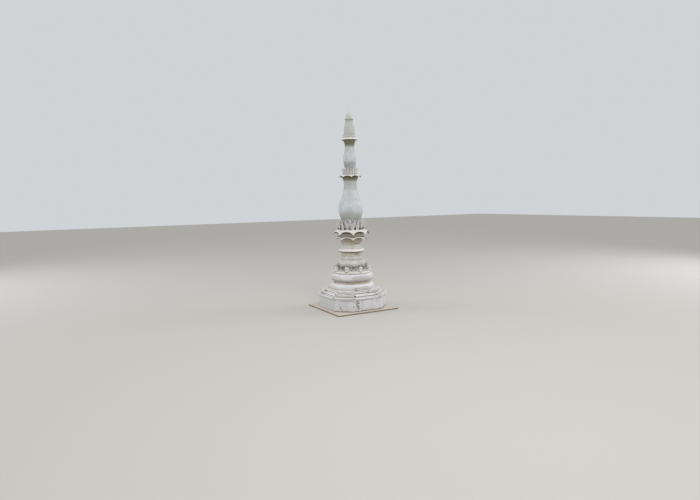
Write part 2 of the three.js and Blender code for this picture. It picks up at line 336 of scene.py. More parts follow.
def newMaterial(name, roughness, specular):
    material = bpy.data.materials.new(name)
    material.use_nodes = True
    tree = material.node_tree
    shader = tree.nodes["Principled BSDF"]
    shader.inputs["Roughness"].default_value = roughness
    shader.inputs["Specular IOR Level"].default_value = specular
    return material, tree, shader


# what every limewash has unless its own dictionary says otherwise
usualWash = {
    "fresh": "#DFDEE0", "worn": "#CCCACC", "thin": "#B4B1AE", "patchy": 0.35,     # overlapping coats
    "streak": "#9C9996", "streaks": 0.4,                                          # rain streaks
    "under": "#8B836E", "underAmount": 0.6, "underFull": -0.55,                   # painted shade on faces that look down
    "grimeAndShade": "#48433C", "grimeAndShadeAmount": 0.85, "specks": 0.35,                      # soot and algae, also the painted shade in the hollows
    "hollowSize": 0.12, "hollowStart": 0.72, "hollowFull": 0.22,                  # the hollows they settle in, which also take painted shade
    "bump": 0.006,
    # level bands of dirt, some of them painted shadow or painted light: height, half width, strength, colour,
    # size of its clouds, their shift and start
    "stains": [],
    # a direction and the painted shade of the faces that look that way
    "sides": [],
}
# layers of the finish: metres across one cloud, and the values of the noise between which it comes up
layers = {
    "coats": (0.38, 0.36, 0.66), "patches": (0.07, 0.5, 0.72), "streaks": (0.055, 0.52, 0.74),
    "core": (0.2, 0.1, 0.5), "dirt": (0.09, 0.28, 0.6), "specks": (0.022, 0.7, 0.78),
}
grainSize = {"sand": 0.006, "brush": 0.05}
# how squarely a face has to look that way to take its painted light or shade tone, and how much of it
lookRules = {"side": (0.76, 0.92), "sideAmount": 0.85, "top": (0.45, 0.85), "topAmount": 0.8,
             "underStart": 0.05}


def limewash(name, changes):
    # Lime putty brushed thinly over lime plaster: dead matt and chalky, cloudy where coats overlap,
    # grey streaks below ledges, soot and algae with painted shade in the hollows, brown where water stands,
    # painted shade on faces that look down or aside and painted light on faces that look up
    look = {**usualWash, **changes}
    material, tree, shader = newMaterial(name, 0.92, 0.18)
    place = addNode(tree, "ShaderNodeTexCoord", output="Object")
    surface = addNode(tree, "ShaderNodeNewGeometry", output="Normal")
    height = addNode(tree, "ShaderNodeSeparateXYZ", {0: place}, "Z")
    facing = addNode(tree, "ShaderNodeSeparateXYZ", {0: surface}, "Z")

    def noise(size, detail=4.0, stretch=(1, 1, 1), offset=0.0):
        mapped = addNode(tree, "ShaderNodeMapping", {
            "Vector": place, "Location": (offset, offset, offset), "Scale": tuple(s / size for s in stretch)})
        return addNode(tree, "ShaderNodeTexNoise", {
            "Vector": mapped, "Scale": 1.0, "Detail": detail, "Roughness": 0.55}, "Fac")

    def share(source, low, high, to=1.0):
        # 0 below low and 1 above high, smoothly
        inputs = {"Value": source, "From Min": low, "From Max": high, "To Max": to}
        return addNode(tree, "ShaderNodeMapRange", inputs, interpolation_type="SMOOTHSTEP")

    def layer(part, **settings):
        size, low, high = layers[part]
        return share(noise(size, **settings), low, high)

    def maths(operation, *inputs):
        return addNode(tree, "ShaderNodeMath", enumerate(inputs), operation=operation)

    def vectorMaths(operation, output, *inputs):
        return addNode(tree, "ShaderNodeVectorMath", enumerate(inputs), output, operation=operation)

    def blend(below, above, *factors):
        factor = maths("MULTIPLY", *factors) if len(factors) > 1 else factors[0]
        return addNode(tree, "ShaderNodeMix", {0: factor, 6: below, 7: above}, 2, data_type="RGBA")

    tone = blend(look["fresh"], look["worn"], layer("coats"))
    tone = blend(tone, look["thin"], layer("patches", offset=3.1), look["patchy"])
    streaky = layer("streaks", detail=3.0, stretch=(1, 1, 0.07), offset=7.7)
    tone = blend(tone, look["streak"], streaky, look["streaks"])
    for middle, reach, amount, colour, size, offset, start in look["stains"]:
        near = share(maths("ABSOLUTE", maths("SUBTRACT", height, middle)), reach, reach * 0.35, amount)
        ragged = share(noise(size, stretch=(1, 1, 0.35), offset=offset), start, start + 0.3)
        tone = blend(tone, colour, near, ragged)
    # faces that look the given way take a painted shade
    for side, shadedTone in look["sides"]:
        towards = vectorMaths("DOT_PRODUCT", "Value", surface, side)
        tone = blend(tone, shadedTone, share(towards, *lookRules["side"]), lookRules["sideAmount"])
    # faces that look up take the top tone: painted light from above, and painted shade where the top tone is
    # darker
    if "top" in look:
        tone = blend(tone, look["top"], share(facing, *lookRules["top"]), lookRules["topAmount"])
    if "core" in look:
        # what lies behind the rim of a flange, nearer to the axis than this, is never washed by the rain, and
        # it darkens towards the rim's underside with painted shade and grime
        core = look["core"]
        away = vectorMaths("LENGTH", "Value", vectorMaths("MULTIPLY", 0, place, (1, 1, 0)))
        inner = share(away, core["radius"], core["radius"] - 0.02)
        tone = blend(tone, core["tone"], inner, layer("core", offset=4.4))
        tone = blend(tone, core["shadeAndGrimeUnderRim"], inner, share(height, *core["between"]))
    # faces that look down take a painted shade
    down = share(facing, lookRules["underStart"], look["underFull"])
    tone = blend(tone, look["under"], down, look["underAmount"])
    # hollows found by ambient occlusion are darkened: painted shade mixed with soot and algae
    hollow = addNode(tree, "ShaderNodeAmbientOcclusion", {"Distance": look["hollowSize"]}, "AO", samples=8)
    sheltered = share(hollow, look["hollowStart"], look["hollowFull"])
    hollowShadeAndDirt = maths("MULTIPLY", sheltered, layer("dirt", offset=5.2))
    tone = blend(tone, look["grimeAndShade"], hollowShadeAndDirt, look["grimeAndShadeAmount"])
    tone = blend(tone, look["grimeAndShade"], layer("specks", detail=2.0, offset=9.4), look["specks"])
    tree.links.new(tone, shader.inputs["Base Color"])

    grain = noise(grainSize["sand"], detail=3.0)
    rough = maths("MULTIPLY_ADD", grain, 0.35, noise(grainSize["brush"], offset=2.2))
    bump = addNode(tree, "ShaderNodeBump", {"Height": rough, "Strength": 0.8, "Distance": look["bump"]})
    tree.links.new(bump, shader.inputs["Normal"])
    return material


# a flat wall, browned at its foot, with painted light on its top, a painted shadow under its coping and
# painted shade on the face that looks along -X
plinthWash = limewash("limewashOnPlinthPlaster", {
    "fresh": "#DFDDE1", "worn": "#D2CFD2", "thin": "#C6C3C1", "streaks": 0.2,
    "top": "#E6E4E6", "specks": 0.15, "grimeAndShadeAmount": 0.55, "sides": [((-1, 0, 0), "#CCCCC8")],
    "stains": [
        (0.08, 0.18, 0.35, "#B5A798", 0.14, 1.3, 0.32), (0.08, 0.08, 0.40, "#86835F", 0.30, 3.4, 0.32),
        # the band at 0.676 is a painted shadow under the coping
        (0.08, 0.07, 0.80, "#6B6557", 0.16, 1.9, 0.30), (0.676, 0.035, 0.75, "#7A7571", 0.25, 4.6, 0.34),
    ],
})
# rain keeps round mouldings bright; painted light on their tops, painted shade on their undersides and on the
# faces that look along -X and -Y
torusWash = limewash("limewashOnRoundMouldings", {
    "fresh": "#E5E3E5", "worn": "#D5D3D5", "streaks": 0.2, "patchy": 0.25, "top": "#F4F2F4", "specks": 0.22,
    "hollowSize": 0.05, "grimeAndShadeAmount": 0.4, "under": "#A59F98", "underAmount": 0.8,
    "sides": [((-1, 0, 0), "#D3D2CA"), ((0, -1, 0), "#C4BFBD")],
})
# flanges: white rims over an unwashed core, which takes painted shade and grime under the rim, and painted
# shade on their undersides
flangeLook = {
    "fresh": "#E6E3E0", "worn": "#D6D2CC", "streaks": 0.25, "patchy": 0.3, "top": "#ECE9E5",
    "under": "#6A634E", "underAmount": 0.9, "grimeAndShade": "#4E4939",
}
flangeWash = limewash("limewashOnLotusFlanges", {
    **flangeLook, "fresh": "#E4E1DD", "worn": "#D5D1CB", "hollowSize": 0.05,
    "core": {"radius": 0.745, "tone": "#B5AC9D", "shadeAndGrimeUnderRim": "#756E5E", "between": (4.01, 4.08)}})
# the lowest flange lies in the shade of the one above: its wash is a brighter copy of the flange wash as
# painted light, and its top takes a painted shade
lowFlangeWash = limewash("limewashOnLowestFlange", {
    **flangeLook, "fresh": "#F8F5F0", "worn": "#ECE8E1", "top": "#D8D2C8", "hollowSize": 0.03,
    "core": {"radius": 0.720, "tone": "#C2BAAC", "shadeAndGrimeUnderRim": "#8A8271", "between": (3.74, 3.80)}})
middleFlangeWash = limewash("limewashOnMiddleFlange", {
    **flangeLook, "hollowSize": 0.06,
    "core": {"radius": 0.455, "tone": "#918B75", "shadeAndGrimeUnderRim": "#5F5A47", "between": (6.97, 7.03)}})
# the tops of the small flanges take a painted shade
smallFlangeWash = limewash("limewashOnSmallFlanges", {
    **flangeLook, "fresh": "#F0EEEA", "worn": "#E6E3DD", "top": "#B9B7B2", "hollowSize": 0.03, "specks": 0.1,
    "patchy": 0.1,
    "core": {"radius": 0.362, "tone": "#7E7D65", "shadeAndGrimeUnderRim": "#62614E", "between": (8.965, 8.99)}})
# narrow bands and ledges: bright fronts, painted shade on their undersides and painted light on their tops
waistWash = limewash("limewashOnWaistBand", {
    "fresh": "#F0EEEA", "worn": "#E4E1DC", "streaks": 0.15, "patchy": 0.2, "hollowSize": 0.04, "specks": 0.15,
    "under": "#5E5849", "underAmount": 0.95, "underFull": -0.3,
})
ledgeWash = limewash("limewashOnBracketLedge", {
    "fresh": "#ECE9E4", "worn": "#DEDAD4", "streaks": 0.2, "patchy": 0.3, "top": "#F0EDE8",
    "hollowSize": 0.04, "under": "#A09A92",
})
stepWash = limewash("limewashOnPlinthSteps", {
    "fresh": "#F5F3F4", "worn": "#E8E6E7", "streaks": 0.15, "patchy": 0.2, "top": "#F8F6F7",
    "hollowSize": 0.04, "hollowStart": 0.66, "grimeAndShadeAmount": 0.95,
    "under": "#857F78", "underAmount": 0.9, "underFull": -0.25,
})
crestWash = limewash("limewashOnCornerCresting", {
    "fresh": "#F0EDEB", "worn": "#E4E1DE", "streaks": 0.2, "patchy": 0.25, "top": "#F6F4F2",
    "hollowSize": 0.035, "hollowStart": 0.7, "grimeAndShadeAmount": 0.8,
})
# sheltered necks, yellowed and stained below what overhangs them, and painted lighter below the waist where
# its shadow falls
neckWash = limewash("limewashOnNecks", {
    "fresh": "#D6D2CE", "worn": "#C5C0BA", "thin": "#B2AB9E", "streak": "#9C9486", "streaks": 0.35,
    "hollowSize": 0.03, "hollowStart": 0.6, "grimeAndShadeAmount": 0.4,
    "stains": [
        # the band at 2.94 is painted light in the waist's shadow
        (3.64, 0.18, 0.90, "#C6B9A1", 0.30, 1.3, 0.10), (2.94, 0.12, 0.90, "#D2CDB5", 0.20, 2.6, 0.20),
        (2.66, 0.05, 0.55, "#9C9388", 0.20, 5.0, 0.20),
    ],
})
# bulbs: cool white, olive where each neck is sheltered, grey round their feet, and a painted shadow of the
# finial plate on the top bulb
bodyWash = limewash("limewashOnBulbs", {
    "fresh": "#CFD4D8", "worn": "#C2C7CB", "thin": "#ACB1B2", "streak": "#9DA09F", "streaks": 0.25,
    "patchy": 0.25, "specks": 0.15,
    "stains": [
        (8.88, 0.34, 1.00, "#6F6E55", 0.30, 1.3, 0.10), (8.50, 0.30, 0.40, "#A5A89A", 0.10, 1.7, 0.32),
        (6.96, 0.19, 1.00, "#75735C", 0.30, 4.0, 0.15), (7.58, 0.32, 0.80, "#8C8F8A", 0.07, 5.5, 0.34),
        # the band at 10.04 is the painted shadow of the finial plate
        (10.04, 0.15, 1.00, "#3F4436", 0.20, 7.0, 0.00), (9.70, 0.75, 0.80, "#BABDB4", 0.30, 2.0, 0.10),
        (6.60, 0.36, 0.80, "#B5B8B4", 0.30, 6.0, 0.10), (4.62, 0.50, 0.35, "#989999", 0.10, 8.0, 0.32),
        (4.36, 0.38, 0.90, "#827F78", 0.12, 2.9, 0.22),
    ],
})
# carved stucco, with painted shade and grime in its hollows and black painted shade where it has holes
carvedWash = limewash("carvedLimeStucco", {
    "fresh": "#E0DCDB", "worn": "#CFCAC6", "streaks": 0.3, "hollowSize": 0.1, "hollowStart": 0.8,
    "grimeAndShadeAmount": 0.9, "specks": 0.6, "patchy": 0.45,
    "stains": [
        # the black band at 2.29 is painted shade where the carving has holes
        (2.40, 0.10, 0.50, "#9A948D", 0.07, 1.3, 0.30), (2.29, 0.19, 1.00, "#3E3933", 0.055, 6.3, 0.47),
        (2.06, 0.04, 0.90, "#F2EFEC", 0.10, 1.3, 0.00),
    ],
})
bracketWash = limewash("limewashOnScrollBrackets", {
    "fresh": "#E6E3E1", "worn": "#D5D1CE", "streaks": 0.3, "hollowSize": 0.06, "hollowStart": 0.8,
    "grimeAndShadeAmount": 0.75, "top": "#E8E5E3",
})
# a sunk band, browned by damp and painted darker as shade
recessWash = limewash("limewashBrownedByDampWithPaintedShade", {
    "fresh": "#D5CBC0", "worn": "#C0B5A9", "thin": "#AB9F93", "streak": "#867B70", "under": "#7E756A",
})
# modelled petals, dark at their feet with painted shade and grime
petalWash = limewash("modelledLimeStucco", {
    "fresh": "#DAD7D6", "worn": "#C8C4C1", "hollowSize": 0.14, "hollowStart": 0.8, "grimeAndShadeAmount": 0.8,
    "top": "#E4E1DF",
    "stains": [
        (4.315, 0.065, 0.95, "#6B675F", 0.10, 0.7, 0.32), (4.245, 0.040, 0.90, "#F0EDEA", 0.10, 1.3, 0.00)],
})
# the newest limewash, on the bud and its plate
budWash = limewash("freshLimewash", {
    "fresh": "#D4DDD3", "worn": "#C3CCC3", "thin": "#A8AEA7", "streaks": 0.25, "patchy": 0.4, "specks": 0.1,
})
plateWash = limewash("limewashOnFinialPlate", {
    "fresh": "#F2F7EF", "worn": "#E6ECE2", "thin": "#CFD5CB", "streaks": 0.2, "patchy": 0.3,
    "hollowSize": 0.01, "grimeAndShadeAmount": 0.2, "under": "#C9CFBE", "underAmount": 0.4,
})
# bare mortar of the footing, with painted light on its top
footingMortar = limewash("limeAndCementMortar", {
    "fresh": "#9A8D78", "worn": "#847862", "thin": "#777050", "streak": "#7A705F", "streaks": 0.3,
    "grimeAndShade": "#5A5244", "patchy": 0.7, "bump": 0.012, "top": "#DDD2CA", "grimeAndShadeAmount": 0.4,
    "stains": [(0.07, 0.05, 0.55, "#8B895E", 0.30, 1.3, 0.48)],
})
# rough mortar and soft clay brick behind broken plaster
brokenLook = {"streaks": 0.3, "patchy": 0.6, "hollowSize": 0.05, "hollowStart": 0.9, "grimeAndShadeAmount": 0.7}
brickBed = limewash("brokenLimeMortar", {
    **brokenLook, "fresh": "#C4C0BD", "worn": "#A8A4A1", "thin": "#7C7874", "streak": "#6C6864",
    "grimeAndShade": "#4A4744", "bump": 0.02,
})
firedBrick = limewash("lowFiredClayBrick", {
    **brokenLook, "fresh": "#A69D96", "worn": "#918882", "thin": "#B3AEAA", "streak": "#7A736E",
    "grimeAndShade": "#45413D", "bump": 0.015,
})
print("stage: materials made")


# Square foot
def squareBody(half, cut, strands, cuts, step):
    # a level square with cut corners, drawn up through half widths and heights
    points = profile(strands, step)
    cornerStep = 0.055      # metres between the points of a cut corner
    deselectAll()
    bpy.ops.mesh.primitive_plane_add(size=2 * half, location=(0, 0, points[0][1]))
    piece = placed()
    edit(piece)
    selectAll()
    if cut:
        bpy.ops.mesh.bevel(offset=cut, offset_type="OFFSET", affect="VERTICES")
    bpy.ops.mesh.select_mode(type="EDGE")
    pick("EDGE", lambda e: e.calc_length() > cut * 1.6)      # the four sides, not the cut corners
    bpy.ops.mesh.subdivide(number_cuts=cuts)

    def slants(edge):
        a, b = (v.co for v in edge.verts)
        return abs(abs(a.x) - abs(b.x)) > onLine and abs(abs(a.y) - abs(b.y)) > onLine

    if cut:
        pick("EDGE", slants)
        bpy.ops.mesh.subdivide(number_cuts=round(cut * math.sqrt(2) / cornerStep))
    drawUp(points)
    normalsOut()
    leaveEdit()
    return piece


footing = {"half": 1.797, "top": 0.078, "chamfer": 0.020, "inset": 0.012, "edge": 0.012, "dent": 0.006,
           "bed": 0.0005}
half, bend = footing["half"], footing["top"] - footing["chamfer"]
piece = squareBody(half, 0, [[(half, 0.0), (half, bend)], [(half - footing["inset"], footing["top"])]],
                   cuts=40, step=0.03)
trowel(piece, dent=footing["dent"], edge=footing["edge"], segments=1)
# laid on level ground, so its underside is flat again
edit(piece)
pick("VERT", lambda v: v.co.z < footing["dent"])
bpy.ops.transform.resize(value=(1, 1, 0), center_override=(0, 0, footing["bed"]))
leaveEdit()
finish(piece, "footing_slab", footingMortar, "footing_mortar", "footing")

plinth = {"half": 1.576, "cut": 0.69, "bottom": 0.08, "top": 0.74, "coping": 0.075, "proud": 0.008,
          "batter": 0.006, "slope": 0.012, "worn": 0.020}
half, top = plinth["half"], plinth["top"]
wallFace = half - plinth["proud"]
under = top - plinth["coping"]
plinthWall = squareBody(wallFace, plinth["cut"] - plinth["batter"], [
    [(wallFace + plinth["batter"], plinth["bottom"]), (wallFace, 0.2), (wallFace, 0.45),
     (wallFace, under - plinth["slope"])],
    [(half - 0.002, under)],
    [(half, top - plinth["worn"]), (half - 0.018, top)],
], cuts=46, step=0.04)
trowel(plinthWall, wave=0.012, dent=0.006, edge=0.016)


# Lost plaster: ragged lumps are cut away, and the bed they leave is rough mortar
pocket = {
    "ragged": 0.5,      # most a lump is roughened, as a share of its least width
    "reach": 0.75,      # how far from a lump's middle its bed lies, as a share of its greatest width
    "facing": -0.3,     # how squarely the bed looks back at the middle, -1 is straight at it
    "keeps": 0.98,      # a piece left smaller than this share of itself was cut wrongly
}


def breakAway(piece, spot):
    middle, turn = Vector(spot["at"]), math.radians(spot["facing"])
    along = Vector((math.cos(turn), math.sin(turn), 0))
    lumps = [(middle + along * across + Vector((0, 0, up)), (wide, 2 * deep, tall))
             for across, up, wide, tall, deep in spot["lumps"]]
    whole, size = piece.data.copy(), piece.dimensions.length
    for centre, extent in lumps:
        deselectAll()
        bpy.ops.mesh.primitive_ico_sphere_add(subdivisions=3, radius=0.5)
        chunk = bpy.context.object
        chunk.scale = extent
        chunk.rotation_euler = (0, 0, turn)
        chunk.location = centre
        placed()
        # a thin lump is roughened less, or it would turn inside out
        roughen(chunk, breakCloud, min(spot["ragged"], pocket["ragged"] * min(extent)))
        addModifier(piece, "BOOLEAN", object=chunk, operation="DIFFERENCE", solver="EXACT")
        bpy.data.objects.remove(chunk)
    bpy.context.view_layer.update()
    if piece.dimensions.length < pocket["keeps"] * size:
        # a cut that takes more than its lumps is put back
        piece.data = whole
        print("stage: left whole at", spot["at"])
        return
    bpy.data.meshes.remove(whole)

    def inPocket(face):
        for centre, extent in lumps:
            gap = face.calc_center_median() - centre
            near = gap.length < pocket["reach"] * max(extent)
            if near and face.normal.dot(gap.normalized()) < pocket["facing"]:
                return True
        return False

    piece.data.materials.append(brickBed)
    edit(piece, "FACE")
    pick("FACE", inPocket)
    piece.active_material_index = len(piece.data.materials) - 1
    bpy.ops.object.material_slot_assign()
    leaveEdit()


# lumps: across and up from the spot's middle, width, height and depth of each piece that fell away
longStrip = {"top": 0.23, "pitch": 0.037, "lumps": 13}
strip = [(random.uniform(-0.06, 0.06), longStrip["top"] - longStrip["pitch"] * i, random.uniform(0.08, 0.16),
          random.uniform(0.07, 0.13), random.uniform(0.025, 0.055)) for i in range(longStrip["lumps"])]
spalls = [
    {"at": (-0.58, -wallFace, 0.43), "facing": 0, "ragged": 0.08, "lumps": strip},
    {"at": (-0.47, -wallFace, 0.22), "facing": 0, "ragged": 0.05, "lumps": [(0.0, 0.0, 0.09, 0.10, 0.03)]},
    {"at": (-0.80, -wallFace, 0.36), "facing": 0, "ragged": 0.04, "lumps": [
        (0.0, 0.0, 0.05, 0.13, 0.03), (0.02, 0.22, 0.05, 0.07, 0.03)]},
    {"at": (-1.288, -1.128, 0.25), "facing": -45, "ragged": 0.06, "lumps": [
        (-0.03, 0.05, 0.07, 0.14, 0.035), (0.05, -0.05, 0.08, 0.12, 0.04), (-0.10, -0.02, 0.05, 0.06, 0.03)]},
    {"at": (-0.22, -wallFace, 0.655), "facing": 0, "ragged": 0.04, "lumps": [(0.0, 0.0, 0.12, 0.06, 0.05)]},
    {"at": (wallFace, -0.35, 0.20), "facing": 90, "ragged": 0.06, "lumps": [
        (0.0, 0.0, 0.20, 0.14, 0.05), (0.14, -0.03, 0.12, 0.10, 0.04), (-0.16, 0.02, 0.08, 0.06, 0.03)]},
    {"at": (0.62, wallFace, 0.16), "facing": 180, "ragged": 0.06, "lumps": [
        (0.0, 0.0, 0.16, 0.10, 0.04), (0.10, 0.03, 0.10, 0.09, 0.04)]},
]
plinthWall.data.materials.append(plinthWash)
for spot in spalls:
    breakAway(plinthWall, spot)
finish(plinthWall, "plinth_wall", None, "plinth_limewash", "plinth_block")

# bricks that show in the long pocket, laid flat in running bond behind the plaster
bricks = {"long": 0.19, "deep": 0.10, "tall": 0.050, "joint": 0.014, "courses": 7, "across": 2,
          "face": -1.530, "left": -0.79, "low": 0.22}
pitch = bricks["long"] + bricks["joint"]
wall = []
for course in range(bricks["courses"]):
    first = bricks["left"] + 0.5 * pitch * (course % 2)
    for place in range(bricks["across"]):
        deselectAll()
        bpy.ops.mesh.primitive_cube_add(size=1)
        piece = bpy.context.object
        piece.scale = (bricks["long"], bricks["deep"], bricks["tall"])
        piece.rotation_euler = (random.uniform(-0.04, 0.04), random.uniform(-0.02, 0.02),
                                random.uniform(-0.07, 0.07))
        piece.location = (first + place * pitch + 0.5 * bricks["long"],
                          bricks["face"] + random.uniform(-0.016, 0.012) + 0.5 * bricks["deep"],
                          bricks["low"] + course * (bricks["tall"] + bricks["joint"]))
        edit(placed())
        selectAll()
        bpy.ops.mesh.subdivide(number_cuts=4)
        leaveEdit()
        wall.append(piece)
bondedBricks = joined(wall)
trowel(bondedBricks, wave=0.006, dent=0.016, edge=0.006, segments=1)
finish(bondedBricks, "exposed_bricks", firedBrick, "footing_mortar")
print("stage: plinth modelled")

steps = {
    "lower": {"half": 1.385, "cut": 0.60, "bottom": 0.74, "top": 0.87, "lip": 0.052, "reach": 0.052,
              "spall": {"at": (-0.62, -1.382, 0.85), "facing": 0, "ragged": 0.05, "lumps": [
                  (0.0, 0.0, 0.14, 0.07, 0.04), (-0.10, -0.03, 0.08, 0.06, 0.03)]}},
    "upper": {"half": 1.250, "cut": 0.53, "bottom": 0.87, "top": 1.01, "lip": 0.054, "reach": 0.052,
              "spall": {"at": (0.30, -1.247, 0.985), "facing": 0, "ragged": 0.04, "lumps": [
                  (0.0, 0.0, 0.10, 0.05, 0.03), (-0.09, 0.01, 0.06, 0.04, 0.02)]}},
}
for row, size in steps.items():
    outer = size["half"] - 0.003
    riser = outer - size["reach"]
    foot, top = size["bottom"], size["top"]
    under = top - size["lip"]
    piece = squareBody(outer, size["cut"], [
        [(outer - 0.010, foot), (outer - 0.016, foot + 0.020)],
        [(riser, foot + 0.032)], [(riser, under - 0.010)], [(outer - 0.005, under)],
        [(outer, top - 0.014), (outer - 0.016, top)],
    ], cuts=44, step=0.03)
    trowel(piece, wave=0.010, dent=0.006, edge=0.006)
    piece.data.materials.append(stepWash)
    breakAway(piece, size["spall"])
    finish(piece, f"plinth_ledge_{row}", None, "moulding_limewash", f"plinth_step_{row}")


# Corner cresting: a low curb along each cut corner that turns up in a leaf at both arrises
crestRules = {
    # lobes of a leaf: how far past the arris, share of the tip's height, half width
    "lobes": [(-0.015, 1.0, 0.105), (-0.105, 0.62, 0.06), (-0.185, 0.42, 0.05), (0.085, 0.66, 0.06),
              (0.160, 0.42, 0.05)],
    "arris": 0.07, "spread": 0.2, "sunk": 0.006, "cell": 0.021, "rub": 0.008,
    # the curb keeps its height this far past the arris, then falls along a share of its tail to a least one
    "level": 0.03, "fallsOver": 0.7, "least": 0.2,
    # ripples carved on what stands this much taller than the curb
    "ripple": 0.010, "ripplePitch": 0.0255, "rippleFrom": 1.4,
    # the nose overhangs like a coping, from this height over this rise, and fades above the curb
    "noseFrom": 0.010, "noseOver": 0.018, "noseFades": 0.08,
}


def cresting(size):
    cutFace = size["cut"] / math.sqrt(2)
    out = (2 * size["half"] - size["cut"]) / math.sqrt(2) - size["inset"]
    reach = cutFace + size["tail"]
    tip, curb = size["tip"], size["curb"]

    def height(along):
        near = abs(along) - cutFace
        tall = curb
        if near > crestRules["level"]:
            fall = (near - crestRules["level"]) / (crestRules["fallsOver"] * size["tail"])
            tall = curb * max(crestRules["least"], 1 - fall)
        for place, part, wide in crestRules["lobes"]:
            away = abs(near - place)
            tall = max(tall, part * tip * (1 - (away / wide) ** 1.5) if away < wide else 0)
        return tall

    def rule(across, up):
        along = (2 * across - 1) * reach
        near = abs(along) - cutFace
        turn = math.pi / 4 * min(1, max(0, near / crestRules["arris"] + 0.5))     # rounds the arris
        beyond = max(0.0, near) * 0.7071                                          # at 45 degrees
        tall = height(along)
        rise = tall * up
        lean = size["lean"] * max(0, (rise - curb) / (tip - curb)) ** 1.3
        splay = size["splay"] * max(0, 1 - abs(near) / crestRules["spread"]) * (tall / tip) * up ** 2
        overhang = min(1, max(0, (rise - crestRules["noseFrom"]) / crestRules["noseOver"]))
        fading = max(0.2, 1 - max(0, rise - curb) / crestRules["noseFades"])
        lean += size["nose"] * (2 * overhang - 1) * fading
        x = math.copysign(min(abs(along), cutFace) + beyond + splay + lean * math.sin(turn), along)
        y = beyond - out - lean * math.cos(turn)
        if tall > curb * crestRules["rippleFrom"]:
            y -= crestRules["ripple"] * math.sin(near / crestRules["ripplePitch"]) * up
        return (x, y, size["bed"] - crestRules["sunk"] + rise)

    piece = shapeSheet(2 * round(reach / crestRules["cell"]), 7, rule)
    thicken(piece, size["thick"])
    edit(piece)
    normalsOut()
    leaveEdit()
    rubEdges(piece, crestRules["rub"])
    return turned(piece, -math.pi / 4)


crests = {
    "lower": {"half": 1.580, "cut": 0.69, "bed": 0.74, "tip": 0.185, "curb": 0.102, "thick": 0.052,
              "inset": 0.040, "tail": 0.30, "lean": 0.070, "splay": 0.022, "nose": 0.016},
    "middle": {"half": 1.385, "cut": 0.60, "bed": 0.87, "tip": 0.146, "curb": 0.102, "thick": 0.048,
               "inset": 0.037, "tail": 0.27, "lean": 0.065, "splay": 0.020, "nose": 0.016},
    "upper": {"half": 1.250, "cut": 0.53, "bed": 1.01, "tip": 0.122, "curb": 0.080, "thick": 0.044,
              "inset": 0.034, "tail": 0.24, "lean": 0.060, "splay": 0.018, "nose": 0.016},
}
corners = {"front": 0, "right": 1, "back": 2, "left": 3}     # quarter turns from the front corner
for row, size in crests.items():
    first = cresting(size)
    for corner, quarter in corners.items():
        piece = copyTurned(first, quarter * math.pi / 2)
        trowel(piece, wave=0.012, dent=0.007)
        finish(piece, f"corner_cresting_{corner}_{row}", crestWash, "petal_stucco",
               f"corner_leaf_{corner}_{row}", smooth=45)
    bpy.data.objects.remove(first)
print("stage: steps and corner cresting modelled")

